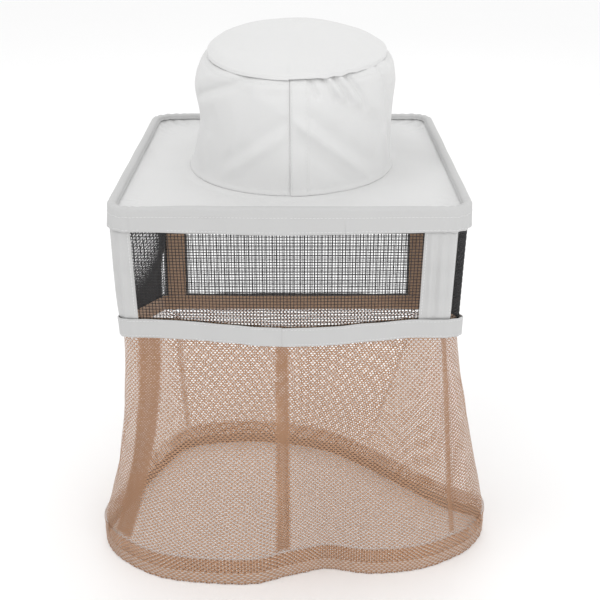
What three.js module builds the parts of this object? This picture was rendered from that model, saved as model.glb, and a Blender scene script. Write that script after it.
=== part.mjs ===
/**
 * Beekeeper's square-veil hat: a cotton bucket crown on a flat square deck, a wedge-shaped box of
 * black screens between two sprung wire hoops, and a net skirt with an elastic hem.
 *
 * Millimetres, +Z up, front towards -Y. The origin is the middle of the head opening, in the plane
 * of the deck's top face. Cloth pieces are thin closed solids that stand GAP apart.
 */
import * as THREE from 'three';

// ---- Driving dimensions ----

const GAP = 0.3; // between pieces that touch
const COTTON = 1.1; // white cotton with its turned edges
const TAPE = 0.8; // tan lining tape
const SCREEN = 1.3; // screen cloth, two crossing wires thick
const NET = 0.8; // honeycomb net

const BOX_WIDTH = 332; // across the white bands, both ways at the top
const BOX_CORNER = 23; // outer radius of the bands at their corners
const DECK_THICKNESS = 1.2;

const WIRE = 2.0; // sprung steel hoop wire
const FERRULE_CLEARANCE = 0.3; // bore over wire
const FERRULE_WALL = 0.3;
const FERRULE_LENGTH = 26;
const WIRE_END_GAP = 1.0; // between the two ends of a hoop, inside its ferrule

const UPPER_BAND_TOP = 8; // above the deck
const UPPER_BAND_DROP = 15; // below the deck's top face

const HOOP_FRONT_Y = -157; // outer face of the lower band at the front
const HOOP_FRONT_Z = -115; // and its middle height there, at the corners
const HOOP_FRONT_SAG = 9; // how far the loaded hoop bows down half way between them
const HOOP_BACK_Y = 126;
const HOOP_BACK_Z = -225;
const LOWER_BAND_HEIGHT = 20.6;
const LOWER_TAPE_HEIGHT = 18;

const POST_WIDTH = 30;
const POST_TAPE_WIDTH = 24;
const POST_SHIFT = { front_right: -22, back_right: 0, back_left: -12, front_left: 0 };
const LEFT_SCREEN_SAG = 24; // how far the left screen is pushed in at its middle
const RIGHT_SCREEN_SAG = 3;

const CROWN_WIDTH = 208; // at the deck
const CROWN_LENGTH = 220;
const TIP_WIDTH = 178; // at the seam between sides and tip
const TIP_LENGTH = 215;
const CROWN_HEIGHT_FRONT = 109;
const CROWN_HEIGHT_BACK = 121;
const CROWN_FULLNESS = 9.5; // how far the sides belly out near the top
const TIP_RISE = 16; // of the tip's dome above its seam
const SWEATBAND_HEIGHT = 28;
const SWEATBAND_THICKNESS = 1.0;

const FLOOR_Z = -443; // what the hem rests on
const HEM_HEIGHT = 34; // doubled net with the elastic in its lower part
const ELASTIC_WIDTH = 14;
const ELASTIC_THICKNESS = 1.4;
const SEAM_THICKNESS = 1.2;
const FLARE_LEFT = 1.65; // 1 is a straight wall, more hangs straight first and flares low down
const FLARE_RIGHT = 1.0;

// The skirt's places along the hoops count from the front centre, on a hoop this long all round.
const HOOP_MARKS = 1271;

// Where the skirt is seamed, and how wide each seam is.
const SKIRT_SEAMS = {
  front: { at: -8, width: 14 },
  front_right: { at: 148, width: 8 },
  back_right: { at: 476, width: 8 },
  back_left: { at: 782, width: 9 },
  front_left: { at: 1135, width: 20 },
};

// The hem as it lies: place on the hoop that each point hangs from, then x and y.
const HEM_OUTLINE = [
  [-8, -8, -134], [10, 12, -128], [34, 38, -121], [75, 88, -129], [122, 147, -121], [148, 183, -104],
  [168, 205, -88], [205, 226, -55], [245, 224, -31], [300, 190, -12], [400, 129, 42],
  [476, 97, 72], [560, 45, 110], [640, -25, 130], [715, -90, 131], [782, -142, 116],
  [880, -175, 62], [960, -197, 6], [1050, -219, -58], [1095, -214, -80], [1135, -196, -104],
  [1170, -149, -134], [1215, -85, -145], [1244, -38, -145],
];

// Cloth colours.
const COLOURS = {
  cotton: 0xe8e8e6, tan: 0xa87f5c, net: 0xc79a72, screen: 0x1c1c1e, steel: 0xb4b6b8, elastic: 0xd9cdc4,
};

// ---- Sizes that follow ----

const FERRULE_BORE = WIRE + FERRULE_CLEARANCE;
const LEAF = FERRULE_BORE / 2 + FERRULE_WALL + GAP; // from a wire's axis to the cloth round it
const BAND_OUT = LEAF + COTTON;
const HOOP_WIDTH = BOX_WIDTH - 2 * BAND_OUT; // across the wires' axes
const HOOP_CORNER = BOX_CORNER - BAND_OUT;
const ARC = (Math.PI / 2) * HOOP_CORNER;
const STRAIGHT = HOOP_WIDTH - 2 * HOOP_CORNER;
const PERIMETER = 4 * (ARC + STRAIGHT);
const ARC_STEPS = 5;
const HOOP_STEP = 26; // between sections on the hoops' straight runs
const UP = new THREE.Vector3(0, 0, 1);
const ACROSS = new THREE.Vector3(1, 0, 0);

// ---- Hoops ----

/**
 * A rounded rectangle that slopes down towards the back. u runs anticlockwise from the front centre,
 * in millimetres of the square upper hoop; a shorter side has its straight run scaled to fit.
 */
class Hoop {
  constructor(depth, centre, tilt, sag = 0) {
    this.depth = depth;
    this.centre = centre;
    this.tilt = tilt;
    this.sag = sag;
  }

  /** Position in the hoop's own plane and the outward direction there. */
  flat(u) {
    const quarter = ARC + STRAIGHT;
    const turned = (((u + STRAIGHT / 2) % PERIMETER) + PERIMETER) % PERIMETER;
    const side = Math.floor(turned / quarter);
    const along = turned - side * quarter;
    const halfX = HOOP_WIDTH / 2 - HOOP_CORNER;
    const halfY = this.depth / 2 - HOOP_CORNER;
    const corner = [[halfX, -halfY], [halfX, halfY], [-halfX, halfY], [-halfX, -halfY]][side];
    const run = side % 2 ? 2 * halfY : 2 * halfX;
    const angle = side * (Math.PI / 2) - Math.PI / 2 + Math.max(0, (along - STRAIGHT) / HOOP_CORNER);
    const outward = new THREE.Vector2(Math.cos(angle), Math.sin(angle));
    const back = (1 - Math.min(1, along / STRAIGHT)) * run;
    const heading = side * (Math.PI / 2);
    const place = new THREE.Vector2(...corner).addScaledVector(outward, HOOP_CORNER);
    place.x -= back * Math.cos(heading);
    place.y -= back * Math.sin(heading);
    return { place, outward };
  }

  /** How far the hoop hangs below its own plane, which only its front does. */
  dip(u) {
    const along = (((u + STRAIGHT / 2) % PERIMETER) + PERIMETER) % PERIMETER;
    return this.sag * Math.sin(Math.PI * Math.min(1, along / STRAIGHT)) ** 2;
  }

  /** Position and outward direction in the object's frame. */
  at(u) {
    const { place, outward } = this.flat(u);
    const turn = (v, z) => new THREE.Vector3(v.x, v.y, z).applyAxisAngle(ACROSS, -this.tilt);
    return { place: turn(place, -this.dip(u)).add(this.centre), outward: turn(outward, 0) };
  }
}

const hoopRun = new THREE.Vector2(HOOP_BACK_Y - HOOP_FRONT_Y, HOOP_BACK_Z - HOOP_FRONT_Z);
const UPPER = new Hoop(HOOP_WIDTH, new THREE.Vector3(0, 0, 0), 0);
const LOWER = new Hoop(
  hoopRun.length() - 2 * BAND_OUT,
  new THREE.Vector3(0, (HOOP_FRONT_Y + HOOP_BACK_Y) / 2, (HOOP_FRONT_Z + HOOP_BACK_Z) / 2),
  Math.atan2(-hoopRun.y, hoopRun.x),
  HOOP_FRONT_SAG,
);

/** Middle of the corner arc that ends side number `side`. */
const cornerAt = (side) => STRAIGHT / 2 + ARC / 2 + side * (ARC + STRAIGHT);

const POSTS = Object.entries(POST_SHIFT).map(([name, shift], side) => ({ name, at: cornerAt(side) + shift }));

/** Places along the hoops from one u to another: close together on the arcs, `step` apart between. */
function stations(from, to, step) {
  const marks = [from];
  for (let lap = -1; lap <= 1; lap += 1) {
    for (let side = 0; side < 4; side += 1) {
      for (let i = 0; i <= ARC_STEPS; i += 1) {
        const u = cornerAt(side) - ARC / 2 + (i * ARC) / ARC_STEPS + lap * PERIMETER;
        if (u > from + 1 && u < to - 1) marks.push(u);
      }
    }
  }
  marks.push(to);
  const list = [];
  for (let i = 0; i + 1 < marks.length; i += 1) {
    const parts = Math.max(1, Math.ceil((marks[i + 1] - marks[i]) / step));
    for (let k = 0; k < parts; k += 1) list.push(marks[i] + ((marks[i + 1] - marks[i]) * k) / parts);
  }
  return [...list, to];
}

/** The same between each two fold lines in turn, so that layers that share them stay parallel. */
const foldedStations = (folds, step) => folds.slice(1).flatMap(
  (fold, i) => stations(folds[i], fold, step).slice(i ? 1 : 0),
);

const fractions = (count) => Array.from({ length: count + 1 }, (_, i) => i / count);

// ---- Solids ----

/** A closed solid from cross-sections, each the same loop of points, in a ring or with two end caps. */
function skin(sections, ring) {
  const loop = sections[0].length;
  const positions = sections.flat().flatMap((p) => [p.x, p.y, p.z]);
  const faces = [];
  const last = ring ? sections.length : sections.length - 1;
  for (let i = 0; i < last; i += 1) {
    const here = i * loop;
    const next = ((i + 1) % sections.length) * loop;
    for (let j = 0; j < loop; j += 1) {
      const k = (j + 1) % loop;
      // Both faces of a panel are split along the same diagonal, so that layers stay parallel.
      if (2 * k < loop) faces.push(here + j, next + j, next + k, here + j, next + k, here + k);
      else faces.push(here + j, next + j, here + k, next + j, next + k, here + k);
    }
  }
  if (!ring) {
    const end = last * loop;
    for (let j = 0; j + 1 < loop - 1 - j; j += 1) {
      const a = j;
      const b = j + 1;
      const c = loop - 2 - j;
      const d = loop - 1 - j;
      faces.push(a, b, d);
      faces.push(end + a, end + d, end + b);
      if (b < c) {
        faces.push(b, c, d);
        faces.push(end + b, end + d, end + c);
      }
    }
  }
  return solid(positions, faces);
}

/** A geometry with its faces turned outwards. */
function solid(positions, faces) {
  const at = (i) => new THREE.Vector3().fromArray(positions, 3 * i);
  let volume = 0;
  for (let i = 0; i < faces.length; i += 3) {
    volume += at(faces[i]).dot(at(faces[i + 1]).cross(at(faces[i + 2])));
  }
  const geometry = new THREE.BufferGeometry();
  geometry.setAttribute('position', new THREE.Float32BufferAttribute(positions, 3));
  geometry.setIndex(volume < 0 ? faces.reverse() : faces);
  geometry.computeVertexNormals();
  return geometry;
}

/** A thin panel: place(u, t, out) is its surface, t runs down it, and out is away from the middle. */
function panel(place, us, ts, inner, outer) {
  const down = [...ts];
  const up = [...ts].reverse();
  const section = (u) => [...down.map((t) => place(u, t, outer)), ...up.map((t) => place(u, t, inner))];
  return skin(us.map(section), false);
}

/** A band all the way round: frame(u, out, up) places each corner of its section. */
function loopBand(frame, section, step) {
  const us = stations(0, PERIMETER, step).slice(0, -1);
  return skin(us.map((u) => section.map(([out, up]) => frame(u, out, up))), true);
}

const leaf = (inner, outer, low, high) => [[inner, low], [outer, low], [outer, high], [inner, high]];

/** Part of a hoop as a path in the hoop's own plane, stepped closely on its arcs. */
class HoopPath extends THREE.Curve {
  constructor(hoop, from, to) {
    super();
    this.hoop = hoop;
    this.marks = stations(from, to, HOOP_STEP);
  }

  getPoint(t) {
    const scaled = t * (this.marks.length - 1);
    const i = Math.min(this.marks.length - 2, Math.floor(scaled));
    const u = THREE.MathUtils.lerp(this.marks[i], this.marks[i + 1], scaled - i);
    const { place } = this.hoop.flat(u);
    return new THREE.Vector3(place.x, place.y, -this.hoop.dip(u));
  }

  getPointAt(t) {
    return this.getPoint(t);
  }

  getTangentAt(t) {
    return this.getPoint(Math.min(1, t + 1e-3)).sub(this.getPoint(Math.max(0, t - 1e-3))).normalize();
  }
}

/** A hoop of wire in its own plane, open by WIRE_END_GAP at `joint`. */
function hoopWire(hoop, joint) {
  const path = new HoopPath(hoop, joint + WIRE_END_GAP / 2, joint + PERIMETER - WIRE_END_GAP / 2);
  const round = new THREE.Shape().absarc(0, 0, WIRE / 2, 0, 2 * Math.PI);
  return new THREE.ExtrudeGeometry(round, {
    steps: path.marks.length - 1, curveSegments: 4, extrudePath: path, bevelEnabled: false,
  });
}

/** The sleeve over a hoop's two ends, standing along +Z. */
function ferrule() {
  const inner = FERRULE_BORE / 2;
  const outer = inner + FERRULE_WALL;
  const half = FERRULE_LENGTH / 2;
  const profile = [[inner, -half], [outer, -half], [outer, half], [inner, half], [inner, -half]];
  const turned = new THREE.LatheGeometry(profile.map((p) => new THREE.Vector2(...p)), 16);
  return turned.rotateX(Math.PI / 2);
}

// ---- Walls of the box ----

const wallUp = (u) => UPPER.at(u).place.sub(LOWER.at(u).place).normalize();

/** Square to the wall at a hoop: out is away from the box and up is along the wall. */
function hoopFrame(hoop, u, out, up) {
  const { place, outward } = hoop.at(u);
  const rise = hoop === UPPER ? UP : wallUp(u);
  const square = outward.clone().addScaledVector(rise, -outward.dot(rise)).normalize();
  return place.clone().addScaledVector(square, out).addScaledVector(rise, up);
}

const upperFrame = (u, out, up) => hoopFrame(UPPER, u, out, up);
const lowerFrame = (u, out, up) => hoopFrame(LOWER, u, out, up);

/** On the straight wall between the hoops, `top` below the deck face and `bottom` above the hoop. */
function wall(u, t, out, top, bottom) {
  const high = upperFrame(u, out, 0);
  const low = lowerFrame(u, out, 0);
  const from = top / (high.z - low.z);
  return high.lerp(low, THREE.MathUtils.lerp(from, 1 - bottom / high.distanceTo(low), t));
}

const SAG_ROWS = [0, 0.06, 0.2, 0.4, 0.6, 0.8, 0.94, 1]; // close together where the screen leaves its casings

function screenPanel(from, to, sag) {
  const top = DECK_THICKNESS + GAP;
  const place = (u, t, out) => {
    const across = THREE.MathUtils.inverseLerp(from + POST_WIDTH / 2, to - POST_WIDTH / 2, u);
    const clear = Math.sin(Math.PI * THREE.MathUtils.clamp(across, 0, 1));
    const dent = sag * (clear * Math.sin(Math.PI * t)) ** 2;
    return wall(u, t, out - dent, top, LEAF);
  };
  const edges = [0, POST_TAPE_WIDTH / 2, POST_WIDTH / 2];
  const folds = [...edges.map((edge) => from + edge), ...edges.map((edge) => to - edge).reverse()];
  const us = foldedStations(folds, HOOP_STEP);
  return panel(place, us, sag ? SAG_ROWS : [0, 1], -SCREEN / 2, SCREEN / 2);
}

function postStrip(post, width, inner, outer, top, bottom) {
  const place = (u, t, out) => wall(u, t, out, top, bottom);
  const half = [POST_WIDTH / 2, POST_TAPE_WIDTH / 2].filter((edge) => edge <= width / 2);
  const folds = [...half.map((edge) => -edge), 0, ...half.reverse()].map((edge) => post.at + edge);
  return panel(place, foldedStations(folds, width), [0, 1], inner, outer);
}

// ---- Crown ----

const CROWN_STEPS = 18; // along half of the crown

/** On the crown's side: angle from the front, t up from the deck to the tip seam, out from the face. */
function crownSide(angle, t, out) {
  const belly = (CROWN_FULLNESS * Math.sin(Math.PI * t ** 3)) / (CROWN_WIDTH / 2);
  const halfX = (THREE.MathUtils.lerp(CROWN_WIDTH, TIP_WIDTH, t) / 2) * (1 + belly) + out;
  const halfY = (THREE.MathUtils.lerp(CROWN_LENGTH, TIP_LENGTH, t) / 2) * (1 + belly / 3) + out;
  const x = halfX * Math.sin(angle);
  const y = -halfY * Math.cos(angle);
  return new THREE.Vector3(x, y, THREE.MathUtils.lerp(GAP, seamHeight(y), t));
}

/** Height of the seam between sides and tip, which slopes up towards the back. */
function seamHeight(y) {
  const share = y / TIP_LENGTH + 0.5;
  return THREE.MathUtils.lerp(CROWN_HEIGHT_FRONT, CROWN_HEIGHT_BACK, share);
}

function crownHalf(side) {
  const seam = GAP / CROWN_LENGTH; // half of the gap between the two halves, as an angle
  const angles = fractions(CROWN_STEPS).map((f) => side * THREE.MathUtils.lerp(seam * 2, Math.PI - seam * 2, f));
  return panel(crownSide, angles, fractions(8), -COTTON, 0);
}

function sweatband() {
  const outer = -COTTON - GAP;
  const top = SWEATBAND_HEIGHT / CROWN_HEIGHT_FRONT;
  const angles = fractions(2 * CROWN_STEPS).slice(0, -1).map((f) => 2 * Math.PI * f);
  const corners = [[outer - SWEATBAND_THICKNESS, 0], [outer, 0], [outer, top], [outer - SWEATBAND_THICKNESS, top]];
  return skin(angles.map((angle) => corners.map(([out, t]) => crownSide(angle, t, out))), true);
}

/** The domed oval that closes the crown. */
function crownTip() {
  const around = 2 * CROWN_STEPS;
  const rings = 4;
  const positions = [];
  const layers = [GAP + COTTON, GAP];
  for (const lift of layers) {
    for (let r = rings; r >= 0; r -= 1) {
      for (let i = 0; i < (r ? around : 1); i += 1) {
        const share = r / rings;
        const angle = (2 * Math.PI * i) / around;
        const y = -(TIP_LENGTH / 2) * share * Math.cos(angle);
        const dome = TIP_RISE * (1 - share ** 2);
        positions.push((TIP_WIDTH / 2) * share * Math.sin(angle), y, seamHeight(y) + dome + lift);
      }
    }
  }
  const layer = rings * around + 1;
  const faces = [];
  for (const [base, flip] of [[0, false], [layer, true]]) {
    for (let r = 0; r < rings; r += 1) {
      for (let i = 0; i < around; i += 1) {
        const k = (i + 1) % around;
        const here = base + r * around;
        const next = here + around;
        const cells = r + 1 < rings
          ? [here + i, here + k, next + k, here + i, next + k, next + i]
          : [here + i, here + k, base + layer - 1];
        faces.push(...(flip ? cells.reverse() : cells));
      }
    }
  }
  for (let i = 0; i < around; i += 1) {
    const k = (i + 1) % around;
    faces.push(i, layer + i, layer + k, i, layer + k, k);
  }
  return solid(positions, faces);
}

function deckPlate() {
  const edge = stations(0, PERIMETER, STRAIGHT).slice(0, -1);
  const shape = new THREE.Shape(edge.map((u) => {
    const { place, outward } = UPPER.flat(u);
    return place.addScaledVector(outward, WIRE / 2);
  }));
  const hole = new THREE.Path();
  hole.absellipse(0, 0, CROWN_WIDTH / 2 - COTTON, CROWN_LENGTH / 2 - COTTON, 0, 2 * Math.PI);
  shape.holes.push(hole);
  return new THREE.ExtrudeGeometry(shape, { depth: DECK_THICKNESS, curveSegments: CROWN_STEPS, bevelEnabled: false });
}

// ---- Skirt ----

const hemCurve = new THREE.CatmullRomCurve3(
  HEM_OUTLINE.map(([, x, y]) => new THREE.Vector3(x, y, 0)), true, 'centripetal',
);

/** Position on the hem's outline below hoop place u, and the outward direction there. */
function hemAt(u) {
  const first = HEM_OUTLINE[0][0];
  const ahead = (u * HOOP_MARKS) / PERIMETER - first;
  const turned = (((ahead % HOOP_MARKS) + HOOP_MARKS) % HOOP_MARKS) + first;
  const marks = [...HEM_OUTLINE.map(([mark]) => mark), first + HOOP_MARKS];
  const i = Math.min(marks.length - 2, marks.findIndex((mark, k) => turned < marks[k + 1]));
  const t = (i + (turned - marks[i]) / (marks[i + 1] - marks[i])) / HEM_OUTLINE.length;
  const tangent = hemCurve.getTangent(t % 1);
  return { place: hemCurve.getPoint(t % 1), outward: new THREE.Vector3(tangent.y, -tangent.x, 0) };
}

const SKIRT_ROWS = 7;
const TUCK = -1;

/** On the skirt: t runs from 0 below the lower band down to 1 at the hem; TUCK is inside the band. */
function skirt(u, t, out) {
  if (t === TUCK) return lowerFrame(u, out, -LEAF);
  const { place, outward } = hemAt(u);
  const high = lowerFrame(u, out, -LOWER_BAND_HEIGHT / 2 - GAP);
  const low = place.clone().addScaledVector(outward, out).setZ(FLOOR_Z + HEM_HEIGHT + GAP);
  const side = (place.x / BOX_WIDTH) + 0.5;
  const flare = THREE.MathUtils.clamp(THREE.MathUtils.lerp(FLARE_LEFT, FLARE_RIGHT, side), FLARE_RIGHT, FLARE_LEFT);
  const spread = t ** flare;
  return new THREE.Vector3(
    THREE.MathUtils.lerp(high.x, low.x, spread),
    THREE.MathUtils.lerp(high.y, low.y, spread),
    THREE.MathUtils.lerp(high.z, low.z, t),
  );
}


/** From one seam to the next, with a fold line at the edge of each seam's strip. */
function netPanel(seam, next) {
  const to = next.at + (next.at < seam.at ? PERIMETER : 0);
  const between = stations(seam.at + seam.width / 2, to - next.width / 2, HOOP_STEP);
  const us = [seam.at + GAP / 2, ...between, to - GAP / 2];
  return panel(skirt, us, [TUCK, ...fractions(SKIRT_ROWS)], -NET / 2, NET / 2);
}

function netSeam({ at, width }) {
  const outer = -NET / 2 - GAP;
  const us = [at - width / 2, at, at + width / 2];
  return panel(skirt, us, fractions(SKIRT_ROWS), outer - SEAM_THICKNESS, outer);
}

const HEM_STEP = 30; // between sections of the hem, along the hoop

/** A band that stands on the floor along the hem's outline. */
const hemFrame = (u, out, up) => {
  const { place, outward } = hemAt(u);
  return place.clone().addScaledVector(outward, out).setZ(FLOOR_Z + up);
};

// ---- The object ----

const hat = new THREE.Group();

const FINISHES = {
  cotton: { roughness: 0.9 }, tan: { roughness: 0.85 }, net: { roughness: 0.8 },
  screen: { roughness: 0.6 }, steel: { roughness: 0.3, metalness: 1 }, elastic: { roughness: 0.9 },
};
const materials = Object.fromEntries(Object.entries(COLOURS).map(
  ([name, color]) => [name, new THREE.MeshStandardMaterial({ color, ...FINISHES[name] })],
));

function add(name, geometry, material, parent = hat) {
  const mesh = new THREE.Mesh(geometry, materials[material]);
  mesh.name = name;
  parent.add(mesh);
  return mesh;
}

// Crown and deck.
add('crown_side_right', crownHalf(1), 'cotton');
add('crown_side_left', crownHalf(-1), 'cotton');
add('crown_sweatband', sweatband(), 'cotton');
add('crown_tip', crownTip(), 'cotton');
add('deck', deckPlate(), 'cotton').position.z = -DECK_THICKNESS;

// Each hoop, with its ferrule on the side behind the wearer, where the wire's ends meet.
const HOOP_JOINT = cornerAt(1) + ARC / 2 + STRAIGHT / 2;
for (const [name, hoop, lift] of [['upper', UPPER, UPPER_BAND_TOP - COTTON - LEAF], ['lower', LOWER, 0]]) {
  const plane = new THREE.Group();
  plane.position.copy(hoop.centre).add(new THREE.Vector3(0, 0, lift));
  plane.rotation.x = -hoop.tilt;
  hat.add(plane);
  add(`${name}_hoop`, hoopWire(hoop, HOOP_JOINT), 'steel', plane);
  const sleeve = add(`${name}_hoop_ferrule`, ferrule(), 'steel', plane);
  const { place } = hoop.flat(HOOP_JOINT);
  sleeve.position.set(place.x, place.y, 0);
  sleeve.rotation.y = Math.PI / 2;
}

// The upper band folds over its hoop: a deep outer leaf, a bridge and a short inner leaf.
const upperSection = [
  [BAND_OUT, -UPPER_BAND_DROP], [BAND_OUT, UPPER_BAND_TOP], [-BAND_OUT, UPPER_BAND_TOP], [-BAND_OUT, GAP],
  [-LEAF, GAP], [-LEAF, UPPER_BAND_TOP - COTTON], [LEAF, UPPER_BAND_TOP - COTTON], [LEAF, -UPPER_BAND_DROP],
];
add('upper_band', loopBand(upperFrame, upperSection, STRAIGHT), 'cotton');

const halfBand = LOWER_BAND_HEIGHT / 2;
const halfTape = LOWER_TAPE_HEIGHT / 2;
add('lower_band', loopBand(lowerFrame, leaf(LEAF, BAND_OUT, -halfBand, halfBand), HOOP_STEP), 'cotton');
add('lower_tape', loopBand(lowerFrame, leaf(-LEAF - TAPE, -LEAF, -halfTape, halfTape), HOOP_STEP), 'tan');

// One screen on each side, meeting its neighbours behind the middle of each post.
POSTS.forEach((post, side) => {
  const before = POSTS[(side + 3) % 4];
  const from = side ? before.at : before.at - PERIMETER;
  const name = ['front', 'right', 'back', 'left'][side];
  const sag = { right: RIGHT_SCREEN_SAG, left: LEFT_SCREEN_SAG }[name] ?? 0;
  add(`screen_${name}`, screenPanel(from + GAP / 2, post.at - GAP / 2, sag), 'screen');
});

for (const post of POSTS) {
  const face = SCREEN / 2 + GAP;
  const cloth = postStrip(post, POST_WIDTH, face, face + COTTON, UPPER_BAND_DROP + GAP, halfBand + GAP);
  add(`post_${post.name}`, cloth, 'cotton');
  const top = DECK_THICKNESS + GAP;
  const lining = postStrip(post, POST_TAPE_WIDTH, -face - TAPE, -face, top, halfTape + GAP);
  add(`post_tape_${post.name}`, lining, 'tan');
}

// The skirt: a net panel from each seam to the next, with its seam strip on the inside.
const seams = Object.entries(SKIRT_SEAMS).map(
  ([name, { at, width }]) => [name, { at: (at * PERIMETER) / HOOP_MARKS, width }],
);
const PANELS = ['front_right', 'right', 'back', 'left', 'front_left'];
seams.forEach(([name, seam], i) => {
  const [, next] = seams[(i + 1) % seams.length];
  add(`net_${PANELS[i]}`, netPanel(seam, next), 'net');
  add(`net_seam_${name}`, netSeam(seam), 'net');
});

// The hem: net folded up round the elastic.
const pocket = ELASTIC_THICKNESS / 2 + GAP;
const fold = pocket + NET;
const hemSection = [
  [fold, 0], [fold, HEM_HEIGHT], [pocket, HEM_HEIGHT], [pocket, NET],
  [-pocket, NET], [-pocket, HEM_HEIGHT], [-fold, HEM_HEIGHT], [-fold, 0],
];
add('hem_casing', loopBand(hemFrame, hemSection, HEM_STEP), 'net');
const elastic = leaf(-ELASTIC_THICKNESS / 2, ELASTIC_THICKNESS / 2, NET + GAP, NET + GAP + ELASTIC_WIDTH);
add('hem_elastic', loopBand(hemFrame, elastic, HEM_STEP), 'elastic');

export default hat;
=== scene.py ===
"""Beekeeper's square-veil hat: cloth, screens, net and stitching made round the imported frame.

Laid out as an add-on and run as a script. Shapes are worked out in millimetres in the frame's own
axes: +Z up, front towards -Y, origin in the middle of the head opening on the deck's top face.
"""
import math

import bpy
import numpy as np
from bpy.props import FloatProperty, FloatVectorProperty, PointerProperty
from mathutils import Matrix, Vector


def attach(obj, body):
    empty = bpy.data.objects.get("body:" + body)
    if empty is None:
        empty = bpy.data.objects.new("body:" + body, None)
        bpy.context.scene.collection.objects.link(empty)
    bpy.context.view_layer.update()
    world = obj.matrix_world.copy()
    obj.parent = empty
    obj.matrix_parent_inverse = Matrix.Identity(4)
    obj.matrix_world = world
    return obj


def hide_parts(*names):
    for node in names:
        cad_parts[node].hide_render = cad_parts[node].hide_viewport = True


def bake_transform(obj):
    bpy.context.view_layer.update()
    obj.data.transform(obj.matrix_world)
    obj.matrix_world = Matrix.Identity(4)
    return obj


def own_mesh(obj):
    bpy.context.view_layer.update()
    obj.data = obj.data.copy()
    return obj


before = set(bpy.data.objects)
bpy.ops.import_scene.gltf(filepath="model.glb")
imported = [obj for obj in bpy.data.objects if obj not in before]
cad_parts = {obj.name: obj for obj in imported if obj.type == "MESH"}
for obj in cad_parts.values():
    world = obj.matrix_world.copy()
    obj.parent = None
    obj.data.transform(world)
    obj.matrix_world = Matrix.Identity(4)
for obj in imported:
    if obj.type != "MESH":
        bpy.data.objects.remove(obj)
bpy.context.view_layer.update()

bl_info = {
    "name": "Square-veil hat",
    "version": (1, 0, 0),
    "blender": (4, 5, 0),
    "location": "3D View > Sidebar > Hat",
    "description": "Makes the cloth, screens, net and stitching of a beekeeper's square-veil hat",
    "category": "Add Mesh",
}

MM = 0.001

# ---- Shape of the frame, in millimetres ----

COTTON = 1.1
BOX_WIDTH = 332.0
BOX_CORNER = 23.0
WIRE_TO_CLOTH = 1.75
BAND_OUT = WIRE_TO_CLOTH + COTTON
HOOP_WIDTH = BOX_WIDTH - 2 * BAND_OUT
HOOP_CORNER = BOX_CORNER - BAND_OUT
ARC = math.pi / 2 * HOOP_CORNER
STRAIGHT = HOOP_WIDTH - 2 * HOOP_CORNER
PERIMETER = 4 * (ARC + STRAIGHT)
UPPER_WIRE_Z = 5.15
UPPER_BAND_DROP = 15.0
HOOP_FRONT = (-157.0, -115.0)
HOOP_BACK = (126.0, -225.0)
HOOP_FRONT_SAG = 9.0
LOWER_BAND_HALF = 10.3
LOWER_TAPE_HALF = 9.0
POST_WIDTH = 30.0
POST_TAPE_WIDTH = 24.0
POST_SHIFTS = {"front_right": -22.0, "back_right": 0.0, "back_left": -12.0, "front_left": 0.0}
SCREEN_SAGS = {"front": 0.0, "right": 3.0, "back": 0.0, "left": 24.0}
CROWN_WIDTH = 208.0
CROWN_RADIUS = CROWN_WIDTH / 2
CROWN_LENGTH = 220.0
TIP_WIDTH = 178.0
TIP_LENGTH = 215.0
CROWN_FRONT_HEIGHT = 109.0
CROWN_BACK_HEIGHT = 121.0
CROWN_FULLNESS = 9.5
TIP_RISE = 18.0
TIP_RADIUS = 98.0
TIP_SEAM = 0.97
BACK_SEAM = math.pi * CROWN_RADIUS
SEAM_STRIP = 18.5
FLOOR_Z = -443.0
HEM_HEIGHT = 34.0
GAP = 0.3
NET_RISE = 0.6
HOOP_MARKS = 1271.0
FLARE_LEFT = 1.65
SEAMS = {
    "front": (-8, 14), "front_right": (148, 8), "back_right": (476, 8),
    "back_left": (782, 9), "front_left": (1135, 24),
}
PANELS = ("front_right", "right", "back", "left", "front_left")
HEM_OUTLINE = np.array([
    (-8, -8, -134), (10, 12, -128), (34, 38, -121), (75, 88, -129), (122, 147, -121), (148, 183, -104),
    (168, 205, -88), (205, 226, -55), (245, 224, -31), (300, 190, -12), (400, 129, 42),
    (476, 97, 72), (560, 45, 110), (640, -25, 130), (715, -90, 131), (782, -142, 116),
    (880, -175, 62), (960, -197, 6), (1050, -219, -58), (1095, -214, -80), (1135, -196, -104),
    (1170, -149, -134), (1215, -85, -145), (1244, -38, -145),
], float)
UP = np.array([0.0, 0.0, 1.0])
TURN = 2 * math.pi


# ---- Stage, in metres and degrees ----

LAMPS = (  # name, place, size, power
    ("key", (-1.0, -0.7, 1.9), 1.0, 6.5),
    ("fill", (0.8, -1.6, 0.6), 1.6, 7.5),
    ("back", (0.3, 1.6, 1.5), 1.5, 5.5),
)
LAMP_AIM = Vector((0, 0, -0.15))
CAMERA_PLACE = (0.0094, -0.951, 0.2955)
CAMERA_TILT = 64.3
LENS = 56.3
SENSOR = 36.0
FLOOR_HALF = 6000.0


# ---- Settings ----


def length(name, description, default):
    return FloatProperty(name=name, description=description, default=default, unit="LENGTH")


def colour(name, description, default):
    return FloatVectorProperty(
        name=name, description=description, default=default, subtype="COLOR", size=3, min=0.0, max=1.0)


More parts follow.
